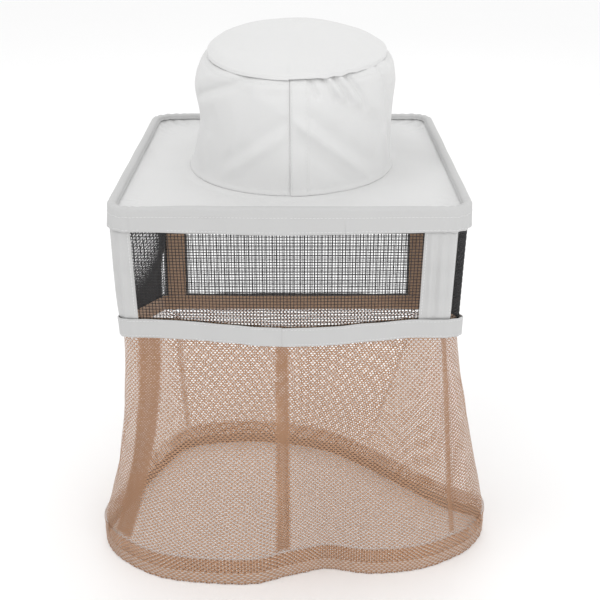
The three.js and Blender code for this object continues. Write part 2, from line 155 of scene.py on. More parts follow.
class HatSizes(bpy.types.PropertyGroup):
    """Sizes of the cloth's own detail."""

    stitch: length("Stitch", "Length of one stitch", 0.0026)
    stitch_gap: length("Stitch gap", "Space between stitches", 0.0008)
    thread: length("Thread", "Thickness of the sewing thread", 0.0004)
    screen_pitch: length("Screen pitch", "Distance between screen wires", 0.003175)
    screen_wire: length("Screen wire", "Thickness of a screen wire", 0.00072)
    net_cell: length("Net cell", "Distance between cells of the net", 0.0045)
    net_thread: length("Net thread", "Width of the net's threads", 0.00128)
    crown_fold: length("Crown folds", "Depth of the folds in the crown", 0.0029)
    deck_fold: length("Deck folds", "Depth of the waves in the deck", 0.0015)


class HatColours(bpy.types.PropertyGroup):
    """Colours of the cloths, as they are before any light, except band, which also holds painted shade."""

    cotton: colour("Cotton", "White cotton of the crown, deck and bands", (0.67, 0.67, 0.667))
    # Band cotton is the cotton darkened for the bands and posts: partly a heavier cloth, partly painted
    # shade on their front faces.
    band: colour("Band cotton", "Heavier cotton of the bands and posts", (0.51, 0.51, 0.508))
    tape: colour("Tape", "Tan lining tape", (0.52, 0.35, 0.235))
    net: colour("Net", "Threads of the skirt's net", (0.405, 0.226, 0.13))
    screen: colour("Screen", "Coated screen wire", (0.018, 0.018, 0.02))
    elastic: colour("Elastic", "Elastic in the hem", (0.74, 0.66, 0.61))
    steel: colour("Steel", "Sprung steel of the hoops", (0.55, 0.56, 0.58))
    floor: colour("Floor", "Studio floor", (0.96, 0.96, 0.96))


# ---- Shader maths ----


class Value:
    """A socket whose arithmetic adds Math nodes to its material."""

    def __init__(self, paint, socket):
        self.paint = paint
        self.socket = socket

    def maths(self, operation, first, second=0.0):
        return self.paint.node("Math", {"operation": operation}, {0: first, 1: second})

    def __add__(self, other):
        return self.maths("ADD", self, other)

    def __sub__(self, other):
        return self.maths("SUBTRACT", self, other)

    def __rsub__(self, other):
        return self.maths("SUBTRACT", other, self)

    def __mul__(self, other):
        return self.maths("MULTIPLY", self, other)

    __radd__ = __add__
    __rmul__ = __mul__

    def sine(self):
        return self.maths("SINE", self)

    def absolute(self):
        return self.maths("ABSOLUTE", self)


class Paint:
    """A material. node() adds any node, and feed() links a value that changes over the surface."""

    def __init__(self, name, base, roughness, **constants):
        self.material = bpy.data.materials.new(name)
        self.material.use_nodes = True
        self.tree = self.material.node_tree
        self.shader = self.tree.nodes["Principled BSDF"]
        self.base = (*base, 1.0)
        self.shader.inputs["Base Color"].default_value = self.base
        self.shader.inputs["Roughness"].default_value = roughness
        for name, value in constants.items():
            self.shader.inputs[name.replace("_", " ").title()].default_value = value

    def node(self, kind, settings=None, inputs=None, output=0):
        made = self.tree.nodes.new("ShaderNode" + kind)
        for key, value in (settings or {}).items():
            setattr(made, key, value)
        for key, value in (inputs or {}).items():
            if isinstance(value, Value):
                self.tree.links.new(value.socket, made.inputs[key])
            else:
                made.inputs[key].default_value = value
        return Value(self, made.outputs[output])

    def feed(self, socket, value):
        self.tree.links.new(value.socket, self.shader.inputs[socket])

    def place(self):
        """Position on the object, in metres."""
        return self.node("TexCoord", output="Object")

    def cloth(self):
        """The two directions of the cloth's threads, in metres."""
        uv = self.node("UVMap", {"uv_map": "Cloth"})
        return [self.node("SeparateXYZ", inputs={0: uv}, output=axis) for axis in (0, 1)]

    def noise(self, scale, detail=3.0, vector=None):
        inputs = {"Vector": vector or self.place(), "Scale": scale, "Detail": detail}
        return self.node("TexNoise", inputs=inputs)

    def shade(self, mask, darkest, lightest=1.0):
        """The base colour between two strengths, by mask."""
        dark, light = [[c * share for c in self.base[:3]] + [1.0] for share in (darkest, lightest)]
        return self.node("Mix", {"data_type": "RGBA"}, {0: mask, 6: dark, 7: light}, output=2)

    def bump(self, height, distance, strength=1.0):
        inputs = {"Height": height, "Distance": distance, "Strength": strength}
        self.feed("Normal", self.node("Bump", inputs=inputs))


def cotton_material(name, base, ends=(0.95, 1.03)):
    """Plain-woven cotton: crossing threads, slubs and slightly uneven bleaching."""
    paint = Paint(name, base, 0.93, sheen_weight=0.12, sheen_roughness=0.6)
    along, across = paint.cloth()
    pitch = TURN / 0.00055
    weave = (along * pitch).sine() * (across * pitch).sine()
    slub = paint.noise(420.0, 2.0)
    cloud = paint.noise(16.0, 4.0)
    paint.feed("Base Color", paint.shade(cloud * 0.7 + weave * 0.06 + slub * 0.24, *ends))
    paint.feed("Roughness", slub * 0.08 + 0.88)
    paint.bump(weave * 0.5 + slub, 0.00012, 0.6)
    return paint.material


def tape_material(name, base):
    """Herringbone tape: slanting ribs that turn back along the tape's middle."""
    paint = Paint(name, base, 0.88, sheen_weight=0.1)
    along, across = paint.cloth()
    slant = (along + across.absolute()) * (TURN / 0.0016)
    rib = slant.sine() * 0.5 + 0.5
    paint.feed("Base Color", paint.shade(rib * 0.6 + paint.noise(60.0) * 0.4, 0.72, 1.12))
    paint.bump(rib, 0.0002, 0.7)
    return paint.material


def net_material(name, base):
    """Knitted net thread, a little darker and lighter from place to place."""
    paint = Paint(name, base, 0.72)
    twist = paint.noise(900.0, 2.0)
    paint.feed("Base Color", paint.shade(paint.noise(22.0) * 0.7 + twist * 0.3, 0.84, 1.16))
    paint.bump(twist, 0.0001, 0.5)
    return paint.material


def screen_material(name, base):
    """Coated wire with a slight gloss that dust dulls in places."""
    paint = Paint(name, base, 0.5)
    dust = paint.noise(70.0, 5.0)
    paint.feed("Base Color", paint.shade(dust, 0.7, 1.5))
    paint.feed("Roughness", dust * 0.35 + 0.3)
    paint.bump(paint.noise(1500.0, 2.0), 0.00005, 0.4)
    return paint.material


def elastic_material(name, base):
    """Braided elastic: fine diagonal crossing threads."""
    paint = Paint(name, base, 0.9, sheen_weight=0.1)
    along, across = paint.cloth()
    pitch = TURN / 0.0014
    braid = ((along + across) * pitch).sine() * ((along - across) * pitch).sine()
    paint.feed("Base Color", paint.shade(braid * 0.3 + paint.noise(90.0) * 0.6, 0.85, 1.08))
    paint.bump(braid, 0.00015, 0.6)
    return paint.material


def steel_material(name, base):
    """Drawn spring steel with faint lengthwise marks."""
    paint = Paint(name, base, 0.3, metallic=1.0)
    marks = paint.noise(300.0, 6.0)
    paint.feed("Base Color", paint.shade(marks, 0.85, 1.08))
    paint.feed("Roughness", marks * 0.3 + 0.2)
    paint.bump(marks, 0.00003, 0.3)
    return paint.material


def thread_material(name, base):
    """Twisted sewing thread."""
    paint = Paint(name, base, 0.65, sheen_weight=0.1)
    twist = paint.noise(1600.0, 1.0)
    paint.feed("Base Color", paint.shade(twist, 0.9, 1.08))
    paint.bump(twist, 0.00008, 0.5)
    return paint.material


# ---- Meshes ----


def blur_step(x):
    """0 below 0, 1 above 1 and smooth between."""
    x = np.clip(x, 0, 1)
    return x * x * (3 - 2 * x)


def mix(a, b, t):
    return a + (b - a) * t


def hill(x, width):
    """1 at 0, falling smoothly to 0 on both sides."""
    return np.exp(-((x / width) ** 2))


def unit(vectors):
    return vectors / np.linalg.norm(vectors, axis=-1, keepdims=True)


def grid(first, second):
    return np.meshgrid(first, second, indexing="ij")


def ripple(x, y, seed, size, stretch=1.0):
    """Smooth seeded waves between about -1 and 1, size across and stretch times longer in y."""
    draw = np.random.default_rng(seed)
    total = 0
    for _ in range(14):
        angle = draw.uniform(0, TURN)
        wave = TURN / (size * draw.uniform(0.7, 1.8))
        phase = draw.uniform(0, TURN)
        total = total + np.sin(wave * (x * math.cos(angle) + y * math.sin(angle) / stretch) + phase)
    return total / 5.0


def crease(x, y, start, end, width, depth):
    """A soft fold of the given depth from start to end, fading out at both ends."""
    (x0, y0), (x1, y1) = start, end
    length = math.hypot(x1 - x0, y1 - y0)
    dx = (x1 - x0) / length
    dy = (y1 - y0) / length
    along = ((x - x0) * dx + (y - y0) * dy) / length
    off = (x - x0) * dy - (y - y0) * dx
    fade = blur_step(along * 3 + 0.6) * blur_step((1 - along) * 3 + 0.6)
    return depth * hill(off, width) * fade


def make_mesh(name, points, groups, material, cloth=None, bake=None):
    """A shown mesh from points in millimetres and arrays of faces, with its cloth and bake maps."""
    mesh = bpy.data.meshes.new(name)
    points = np.asarray(points, float).reshape(-1, 3) * MM
    mesh.vertices.add(len(points))
    mesh.vertices.foreach_set("co", points.ravel())
    corners = np.concatenate([g.ravel() for g in groups]).astype(np.int32)
    sizes = np.concatenate([np.full(len(g), g.shape[1]) for g in groups])
    mesh.loops.add(len(corners))
    mesh.loops.foreach_set("vertex_index", corners)
    mesh.polygons.add(len(sizes))
    starts = np.concatenate([[0], np.cumsum(sizes)[:-1]]).astype(np.int32)
    mesh.polygons.foreach_set("loop_start", starts)
    mesh.update(calc_edges=True)
    mesh.shade_smooth()
    for key, values in (("Cloth", cloth), ("OFBake", bake)):
        if values is not None:
            layer = mesh.uv_layers.new(name=key)
            layer.data.foreach_set("uv", np.asarray(values, np.float32)[corners].ravel())
    mesh.materials.append(material)
    piece = bpy.data.objects.new(name, mesh)
    bpy.context.scene.collection.objects.link(piece)
    return piece


def outwards(points, groups):
    """The faces turned so that a closed mesh has its inside behind them."""
    volume = 0.0
    for g in groups:
        for i in range(1, g.shape[1] - 1):
            a, b, c = points[g[:, 0]], points[g[:, i]], points[g[:, i + 1]]
            volume += np.einsum("ij,ij->i", a, np.cross(b, c)).sum()
    return groups if volume > 0 else [g[:, ::-1] for g in groups]


def shell(name, place, us, section, material, ring=False, lap=0.0):
    """Closed thin cloth: each (down, out) of the section's loop, at each of us along the cloth."""
    us = np.asarray(us, float)
    down, out = np.asarray(section, float).T
    along, depth = grid(us, down)
    points = place(along, depth, np.broadcast_to(out, depth.shape)).reshape(-1, 3)
    cloth = np.stack([along, depth], -1).reshape(-1, 2) * MM
    loop = len(down)
    rows = len(us) if ring else len(us) - 1
    i, j = grid(np.arange(rows), np.arange(loop))
    after = (i + 1) % len(us)
    beside = (j + 1) % loop
    quads = np.stack([i * loop + j, after * loop + j, after * loop + beside, i * loop + beside], -1)
    groups = [quads.reshape(-1, 4)]
    if not ring:
        ends = np.arange(loop)
        groups.append(np.stack([ends, (len(us) - 1) * loop + ends[::-1]]))
    return make_mesh(name, points, outwards(points, groups), material, cloth)


def leaf(top, bottom, inner, outer, steps):
    """Section of one thickness of cloth, from top down to bottom, with rounded edges."""
    half = (outer - inner) / 2
    middle = (outer + inner) / 2
    downs = np.linspace(top + half, bottom - half, steps)
    turn = np.radians((50, 0, -50))
    low = [(bottom - half + half * math.cos(a), middle + half * math.sin(a)) for a in turn]
    high = [(top + half - half * math.cos(a), middle + half * math.sin(a)) for a in -turn]
    return [(d, outer) for d in downs] + low + [(d, inner) for d in downs[::-1]] + high


def thick(path, thickness):
    """Section of cloth that follows a path of (out, up) points, as (up, out) pairs."""
    path = np.asarray(path, float)
    heading = unit(np.gradient(path, axis=0))
    side = np.stack([-heading[:, 1], heading[:, 0]], 1) * thickness / 2
    first = path[0] - heading[0] * thickness / 2
    last = path[-1] + heading[-1] * thickness / 2
    loop = np.concatenate([path + side, [last], (path - side)[::-1], [first]])
    return loop[:, ::-1]


def edge_marks(start, end, step, edge=0.55):
    """Places from start to end, with close ones where the cloth's edge is rounded."""
    inner = np.linspace(start + edge, end - edge, max(2, int((end - start) / step) + 1))
    return np.concatenate([[start, start + edge * 0.15, start + edge * 0.45], inner,
                           [end - edge * 0.45, end - edge * 0.15, end]])


def edge_thin(u, start, end, edge=0.55):
    """How much of the cloth's thickness is left near its two cut ends."""
    near = np.clip(np.minimum(u - start, end - u) / edge, 0, 1)
    return np.sqrt(1 - (1 - near) ** 2 * 0.9)


def honeycomb(place, box, keep, cell, thread):
    """Points, faces, bake map and area of a net of six-sided cells over box = (u0, u1, v0, v1)."""
    u0, u1, v0, v1 = box
    rise = cell * NET_RISE
    rows = np.arange(int((v1 - v0) / rise) + 1)
    columns = np.arange(int((u1 - u0) / cell) + 1)
    i, j = grid(columns, rows)
    centres = np.stack([u0 + (i + 0.5 * (j % 2)) * cell, v0 + j * rise], -1).reshape(-1, 2)
    if keep:
        centres = centres[keep(centres[:, 0], centres[:, 1])]
    turns = np.radians(30 + 60 * np.arange(6))
    tall = rise * 2 / 3
    spokes = np.stack([np.cos(turns) * cell / math.sqrt(3), np.sin(turns) * tall], 1)
    corners = (centres[:, None] + spokes).reshape(-1, 2)
    keys = np.round(corners * 40 + 0.1234).astype(np.int64)
    keys = keys[:, 0] * 10**7 + keys[:, 1]
    _, index, inverse = np.unique(keys, return_index=True, return_inverse=True)
    holes = (centres[:, None] + spokes * (1 - thread / cell)).reshape(-1, 2)
    flat = np.concatenate([corners[index], holes])
    rim = inverse.reshape(-1, 6)
    hole = len(index) + np.arange(len(holes)).reshape(-1, 6)
    quads = np.stack([rim, np.roll(rim, -1, 1), np.roll(hole, -1, 1), hole], -1).reshape(-1, 4)
    spread = (flat - flat.min(0)) / (np.ptp(flat, axis=0) + 1e-9) * 0.98 + 0.01
    area = len(centres) * rise * cell * (1 - (1 - thread / cell) ** 2)
    return place(flat[:, 0], flat[:, 1]), quads, spread, area


# ---- Hoops and walls ----


class Hoop:
    """A rounded rectangle, where u runs from the front centre in millimetres of the upper hoop."""

    def __init__(self, depth, centre, tilt, sag):
        self.depth = depth
        self.centre = np.array(centre)
        self.tilt = tilt
        self.sag = sag

    def at(self, u):
        """Place on the hoop and the direction outwards there."""
        turned = np.mod(np.asarray(u, float) + STRAIGHT / 2, PERIMETER)
        side = np.minimum((turned // (ARC + STRAIGHT)).astype(int), 3)
        along = turned - side * (ARC + STRAIGHT)
        half_x = HOOP_WIDTH / 2 - HOOP_CORNER
        half_y = self.depth / 2 - HOOP_CORNER
        signs = np.array([[1, -1], [1, 1], [-1, 1], [-1, -1]])
        corner = (signs * [half_x, half_y])[side]
        run = np.where(side % 2, 2 * half_y, 2 * half_x) * (1 - np.minimum(1, along / STRAIGHT))
        angle = side * math.pi / 2 - math.pi / 2 + np.maximum(0, (along - STRAIGHT) / HOOP_CORNER)
        out = np.stack([np.cos(angle), np.sin(angle)], -1)
        heading = np.stack([np.cos(side * math.pi / 2), np.sin(side * math.pi / 2)], -1)
        flat = corner + out * HOOP_CORNER - heading * run[..., None]
        dip = -self.sag * np.sin(math.pi * np.minimum(1, turned / STRAIGHT)) ** 2
        return self.turn(flat, dip) + self.centre, self.turn(out, 0 * dip)

    def turn(self, flat, lift):
        cos, sin = math.cos(self.tilt), math.sin(self.tilt)
        x, y = flat[..., 0], flat[..., 1]
        return np.stack([x, y * cos + lift * sin, lift * cos - y * sin], -1)


RUN = (HOOP_BACK[0] - HOOP_FRONT[0], HOOP_BACK[1] - HOOP_FRONT[1])
UPPER = Hoop(HOOP_WIDTH, (0.0, 0.0, 0.0), 0.0, 0.0)
LOWER = Hoop(
    math.hypot(*RUN) - 2 * BAND_OUT,
    (0.0, (HOOP_FRONT[0] + HOOP_BACK[0]) / 2, (HOOP_FRONT[1] + HOOP_BACK[1]) / 2),
    math.atan2(-RUN[1], RUN[0]),
    HOOP_FRONT_SAG,
)


def corner_at(side):
    """Middle of the corner that ends a side."""
    return STRAIGHT / 2 + ARC / 2 + side * (ARC + STRAIGHT)


POSTS = {name: corner_at(side) + shift for side, (name, shift) in enumerate(POST_SHIFTS.items())}


def ring_marks(step):
    """Places all round a hoop, closer together on its corners."""
    straight = np.linspace(0, STRAIGHT, int(STRAIGHT / step), endpoint=False)
    arc = STRAIGHT + np.linspace(0, ARC, 14, endpoint=False)
    one = np.concatenate([straight, arc]) - STRAIGHT / 2
    return np.concatenate([one + side * (ARC + STRAIGHT) for side in range(4)])


def near_corner(u, reach):
    """1 at the middle of each corner, falling to 0 at reach from it."""
    quarter = ARC + STRAIGHT
    off = np.abs(np.mod(u - corner_at(0) + quarter / 2, quarter) - quarter / 2)
    return blur_step(1 - off / reach)


def front_share(u):
    """1 at the middle of the front, 0 from its corners on."""
    turned = np.mod(np.asarray(u, float) + STRAIGHT / 2, PERIMETER)
    return np.sin(math.pi * np.minimum(1, turned / STRAIGHT)) ** 2


def hoop_frame(hoop, u, out, up):
    """A point square to the wall at a hoop: out from the box and up along the wall."""
    place, outward = hoop.at(u)
    rise = UP
    if hoop is LOWER:
        rise = unit(UPPER.at(u)[0] - place)
    square = unit(outward - rise * (outward * rise).sum(-1, keepdims=True))
    return place + square * np.asarray(out)[..., None] + rise * np.asarray(up)[..., None]


def wall_span(u, out, top, bottom):
    """The wall's two ends at u, and the shares of the way down where a cloth on it starts and stops."""
    high = hoop_frame(UPPER, u, out, 0)
    low = hoop_frame(LOWER, u, out, 0)
    length = np.linalg.norm(high - low, axis=-1)
    return high, low, length, top / (high - low)[..., 2], 1 - bottom / length


def wall(u, down, out, top, bottom):
    """On the wall between the hoops, down from where its cloth starts, in millimetres."""
    high, low, length, first, _ = wall_span(u, out, top, bottom)
    share = first + down / length
    return mix(high, low, share[..., None])


def wall_height(u, top, bottom):
    _, _, length, first, last = wall_span(u, 0, top, bottom)
    return length * (last - first)


# ---- Crown and deck ----


def seam_height(y):
    return mix(CROWN_FRONT_HEIGHT, CROWN_BACK_HEIGHT, y / TIP_LENGTH + 0.5)


# Each crease is (around, up) at its start and at its end, its width and its depth.
FRONT_CREASES = (
    ((-74, 24), (-3, 72), 6, -1.0), ((-66, 14), (-6, 58), 6, 1.1), ((5, 72), (78, 14), 5, 1.5),
    ((14, 78), (88, 22), 7, -1.2), ((4, 56), (60, 8), 7, -0.8), ((40, 98), (96, 72), 6, 1.2),
    ((96, 72), (124, 18), 6, 1.2), ((48, 86), (92, 56), 8, -1.2), ((112, 84), (138, 24), 5, -1.2),
    ((-132, 74), (-56, 102), 4, -2.0), ((-128, 90), (-58, 112), 6, 1.3), ((-130, 62), (-70, 86), 8, 0.7),
    ((21, 110), (27, 92), 2.6, -1.7), ((34, 110), (46, 88), 3, -2.0), ((46, 110), (60, 84), 3, -2.1),
    ((60, 110), (80, 76), 3.6, -2.3), ((40, 110), (54, 84), 3, 1.1), ((53, 110), (70, 80), 3.4, 1.2),
    ((104, 109), (112, 84), 4, -1.6), ((120, 109), (126, 88), 5, 1.3), ((-100, 44), (-106, 8), 8, 0.9),
    ((-40, 98), (-12, 84), 7, 0.6), ((108, 44), (112, 6), 8, 0.9),
)
BACK_CREASES = (
    ((190, 96), (250, 60), 7, -1.2), ((-190, 100), (-250, 58), 8, -1.2), ((268, 104), (300, 40), 8, 1.2),
    ((-280, 108), (-312, 66), 6, 1.2), ((150, 104), (160, 70), 4, -1.4), ((-152, 106), (-166, 72), 4, -1.4),
    ((212, 20), (300, 52), 8, 1.0), ((-200, 22), (-290, 44), 8, 1.0), ((-320, 16), (-270, 6), 6, 0.8),
)


def crown_folds(around, height, depth):
    """How far the crown's cloth stands out, by millimetres round from the front and up from the deck."""
    upper = blur_step(height / 40)
    out = depth * 0.42 * upper * ripple(around, height, 5, 66, 1.4)
    out = out + depth * 0.1 * ripple(around, height, 6, 24, 1.6)
    out = out - 2.4 * hill(around + 150, 70) * blur_step(height / 15) * blur_step((78 - height) / 30)
    for start, end, width, size in FRONT_CREASES + BACK_CREASES:
        out = out + crease(around, height, start, end, width, size * depth / 2.0)
    strip = blur_step(around / 0.8) * blur_step(SEAM_STRIP - around)
    back = BACK_SEAM - np.abs(around)
    out = out + 0.85 * strip + 0.5 * blur_step(14 - back) * (around < 0)
    seam = hill(around, 1.1) + hill(back, 1.3)
    top = CROWN_FRONT_HEIGHT - height
    patch = blur_step(ripple(around, 0, 9, 60))
    gather = 0.35 * np.sin(around / 2.1) * blur_step(1 - top / 12) * patch
    puff = 0.9 * blur_step(1 - np.abs(top - 8) / 7)
    return out - 0.45 * seam - 1.7 * blur_step(1 - top / 2.6) + puff + gather


def lean(angle, share):
    """How far the crown leans to the wearer's left, more at its flanks than at its seams."""
    return 3.4 * np.sin(angle) ** 2 * share


def crown_side(angle, height, out, depth):
    """On the crown's side: angle from the front, height up to the tip's seam, out from its face."""
    t = height / CROWN_FRONT_HEIGHT
    around = angle * CROWN_RADIUS
    out = out + crown_folds(around, height, depth) + 1.3 * hill(height, 3.5)
    full = CROWN_FULLNESS * (1 - 0.1 * blur_step(-np.sin(angle)))
    belly = full * np.sin(math.pi * np.clip(t, 0, 1) ** 3) / CROWN_RADIUS
    half_x = mix(CROWN_WIDTH, TIP_WIDTH, t) / 2 * (1 + belly) + out
    half_y = mix(CROWN_LENGTH, TIP_LENGTH, t) / 2 * (1 + belly / 3) + out
    shift = blur_step(height / 50) + 0.9 * blur_step((height - 74) / 35)
    x = half_x * np.sin(angle) + lean(angle, shift)
    y = -half_y * np.cos(angle)
    return np.stack([x, y, mix(0.0, seam_height(y), t)], -1)


def tip_surface(angle, share, lift):
    """On the crown's tip: angle from the front, share of the way out to where it turns down."""
    turned = np.clip((share - TIP_SEAM) / (1 - TIP_SEAM), 0, 1)
    reach = np.minimum(share, TIP_SEAM) / TIP_SEAM
    around = angle * TIP_RADIUS
    y = -(TIP_LENGTH / 2 + 0.5 * turned) * reach * np.cos(angle)
    x = (TIP_WIDTH / 2 + 0.5 * turned) * reach * np.sin(angle) + lean(angle, 1.9 * reach)
    rim = blur_step((reach - 0.74) / 0.22)
    left = 2.2 * hill(around - 504, 45) * blur_step((1.05 - reach) / 0.15)
    puff = rim * (1.3 + 0.6 * ripple(around, 0, 15, 40) + left)
    tuck = np.sin(around / 3.3 + 1.5 * ripple(around, 0, 16, 70))
    patch = blur_step(ripple(around, 0, 17, 90) + hill(around - 48, 26))
    puff = puff + 0.6 * tuck * blur_step((reach - 0.84) / 0.12) * patch
    soft = 1.3 * ripple(x, y, 18, 70) * (1 - reach**6)
    dome = TIP_RISE * (1 - reach**2) + 5.5 * (1 - reach**4)
    z = seam_height(y) + dome + puff + soft - 2.6 * turned**1.4
    return np.stack([x, y, z + lift], -1)


def rim_wave(u):
    """How far the rolled rim waves up and down; the deck's edge follows it."""
    gathers = np.sin(u / 1.5 + ripple(u, 0, 22, 30)) * near_corner(u, 48)
    return 0.45 * ripple(u, 0, 21, 70) + 0.5 * gathers


def deck_surface(u, share, below, depth):
    """On the deck: share 0 at the head opening, 1 under the rolled rim."""
    edge, outward = UPPER.at(u)
    edge = edge - outward * 1.9
    angle = np.arctan2(edge[..., 0] / CROWN_WIDTH, -edge[..., 1] / CROWN_LENGTH)
    hole_x = (CROWN_RADIUS - 1.0) * np.sin(angle)
    hole = np.stack([hole_x, -(CROWN_LENGTH / 2 - 1.0) * np.cos(angle), 0 * angle], -1)
    place = mix(hole, edge, share[..., None])
    inside = np.maximum(0, ((edge - place) * outward).sum(-1))
    from_crown = np.linalg.norm((place - hole)[..., :2], axis=-1)
    free = blur_step(from_crown / 14) * blur_step(inside / 8)
    z = (3.3 + rim_wave(u)) * np.exp(-((inside / 9.0) ** 1.6)) - 1.3 * free
    x, y = place[..., 0], place[..., 1]
    z = z + free * depth * ripple(x, y, 31, 75)
    toward = np.sin(u / 2.6 + 2 * ripple(u, 0, 33, 60)) * near_corner(u, 60)
    z = z + 1.3 * toward * hill(inside - 12, 8)
    place = place.copy()
    place[..., 2] = z - below
    return place


# ---- Skirt ----


def hem_curve():
    """Points close together on the hem's outline, with the hoop place that each hangs from."""
    marks = HEM_OUTLINE[:, 0]
    points = HEM_OUTLINE[:, 1:]
    count = len(points)
    found = []
    for i in range(count):
        four = [points[(i + k) % count] for k in (-1, 0, 1, 2)]
        gaps = [np.linalg.norm(four[k + 1] - four[k]) ** 0.5 for k in range(3)]
        slope_in = (four[1] - four[0]) / gaps[0] - (four[2] - four[0]) / (gaps[0] + gaps[1])
        slope_in = (slope_in + (four[2] - four[1]) / gaps[1]) * gaps[1]
        slope_out = (four[2] - four[1]) / gaps[1] - (four[3] - four[1]) / (gaps[1] + gaps[2])
        slope_out = (slope_out + (four[3] - four[2]) / gaps[2]) * gaps[1]
        after = marks[i + 1] if i + 1 < count else marks[0] + HOOP_MARKS
        for t in np.linspace(0, 1, 24, endpoint=False):
            bend = (2 * t**3 - 3 * t**2 + 1, t**3 - 2 * t**2 + t, -2 * t**3 + 3 * t**2, t**3 - t**2)
            place = bend[0] * four[1] + bend[1] * slope_in + bend[2] * four[2] + bend[3] * slope_out
            found.append((mix(marks[i], after, t), *place))
    return np.array(found)


HEM = hem_curve()
HEM_LENGTH = np.linalg.norm(np.diff(HEM[:, 1:], axis=0, append=HEM[:1, 1:]), axis=1).sum()


def hem_at(u):
    """Place on the hem's outline below u, and the direction outwards there."""
    mark = np.mod(np.asarray(u, float) * HOOP_MARKS / PERIMETER - HEM[0, 0], HOOP_MARKS) + HEM[0, 0]

    def follow(marks):
        return np.stack([np.interp(marks, HEM[:, 0], HEM[:, k], period=HOOP_MARKS) for k in (1, 2)], -1)

    ahead = unit(follow(mark + 2.5) - follow(mark - 2.5))
    return follow(mark), np.stack([ahead[..., 1], -ahead[..., 0]], -1)


def skirt(u, z, out):
    """On the skirt's net below u, at height z, out from its middle."""
    place, outward = hem_at(u)
    high = hoop_frame(LOWER, u, out, -LOWER_BAND_HALF - GAP)
    tuck = hoop_frame(LOWER, u, out, -WIRE_TO_CLOTH)
    low_z = FLOOR_Z + HEM_HEIGHT + GAP
    low = np.concatenate([place + outward * np.asarray(out)[..., None], 0 * u[..., None] + low_z], -1)
    t = (high[..., 2] - z) / (high[..., 2] - low_z)
    side = np.clip(place[..., 0] / BOX_WIDTH + 0.5, 0, 1)
    spread = np.clip(t, 0, 1) ** mix(FLARE_LEFT, 1.0, side)
    found = mix(high, low, spread[..., None])
    found[..., 2] = z
    above = np.clip((z - high[..., 2]) / (tuck[..., 2] - high[..., 2]), 0, 1)[..., None]
    return np.where(above > 0, mix(high, tuck, above), found)


def net_wave(u, z):
    """Soft upright folds that the net hangs in, which die out at the band and at the hem."""
    free = blur_step((z - FLOOR_Z - HEM_HEIGHT) / 60) * blur_step((-150 - z) / 70)
    return free * (2.2 * ripple(u, z, 71, 55, 7.0) + 0.7 * ripple(u, z, 72, 19, 5.0))


def hem_frame(u, out, up):
    """A point on the hem: out from its middle line and up from the floor."""
    place, outward = hem_at(u)
    flat = place + outward * np.asarray(out)[..., None]
    return np.concatenate([flat, (FLOOR_Z + np.asarray(up) + 0 * u)[..., None]], -1)


# ---- Stitches ----

STITCH_RINGS = ((-1, -0.6, 0.25), (-0.82, 0.0, 0.85), (0, 0.55, 1.0), (0.82, 0.0, 0.85), (1, -0.6, 0.25))


def stitch_row(points, normals, sizes):
    """Separate stitches along a line: points and quads of small flattened lengths of thread."""
    steps = np.linalg.norm(np.diff(points, axis=0), axis=1)
    run = np.concatenate([[0], np.cumsum(steps)])
    stitch = sizes.stitch / MM
    pitch = stitch + sizes.stitch_gap / MM
    middles = np.arange(pitch / 2, run[-1] - pitch / 2, pitch)
    at = [np.stack([np.interp(middles + shift, run, points[:, k]) for k in range(3)], -1)
          for shift in (-stitch / 2, 0, stitch / 2)]
    normal = unit(np.stack([np.interp(middles, run, normals[:, k]) for k in range(3)], -1))
    ahead = unit(at[2] - at[0])
    side = np.cross(normal, ahead)
    radius = sizes.thread / MM / 2
    rings = []
    for share, lift, size in STITCH_RINGS:
        centre = at[1] + ahead * share * stitch / 2 + normal * radius * lift
        for turn in range(6):
            angle = turn * math.pi / 3
            rings.append(centre + (side * math.cos(angle) + normal * math.sin(angle)) * radius * size)
    verts = np.stack(rings, 1)
    faces = [[r * 6 + k, r * 6 + (k + 1) % 6, (r + 1) * 6 + (k + 1) % 6, (r + 1) * 6 + k]
             for r in range(4) for k in range(6)]
    faces += [[0, 3, 2, 1], [0, 5, 4, 3], [24, 25, 26, 27], [24, 27, 28, 29]]
    quads = (np.arange(len(verts))[:, None, None] * 30 + np.array(faces)).reshape(-1, 4)
    return verts.reshape(-1, 3), quads


def surface_line(place, us, downs, out):
    """A line on a cloth's face, with the directions square to it."""
    us = np.asarray(us, float)
    downs = np.asarray(downs, float) + 0 * us
    on = place(us, downs, out + 0 * us)
    off = place(us, downs, out + 0.5 + 0 * us)
    return on, off - on


def sew(name, lines, material, sizes):
    """One piece of all the stitches along the given lines."""
    points, quads, count = [], [], 0
    for line, normals in lines:
        verts, faces = stitch_row(line, normals, sizes)
        points.append(verts)
        quads.append(faces + count)
        count += len(verts)
    points = np.concatenate(points)
    return make_mesh(name, points, outwards(points, [np.concatenate(quads)]), material)


def join_nets(parts):
    """Several nets as one: points, faces, bake map and area."""
    points, quads, maps, area, count = [], [], [], 0.0, 0
    for index, (verts, faces, spread, size) in enumerate(parts):
        points.append(verts)
        quads.append(faces + count)
        maps.append((spread + [index, 0]) / [len(parts), 1])
        area += size
        count += len(verts)
    return np.concatenate(points), np.concatenate(quads), np.concatenate(maps), area


# ---- Materials in use ----

MATERIALS = {}


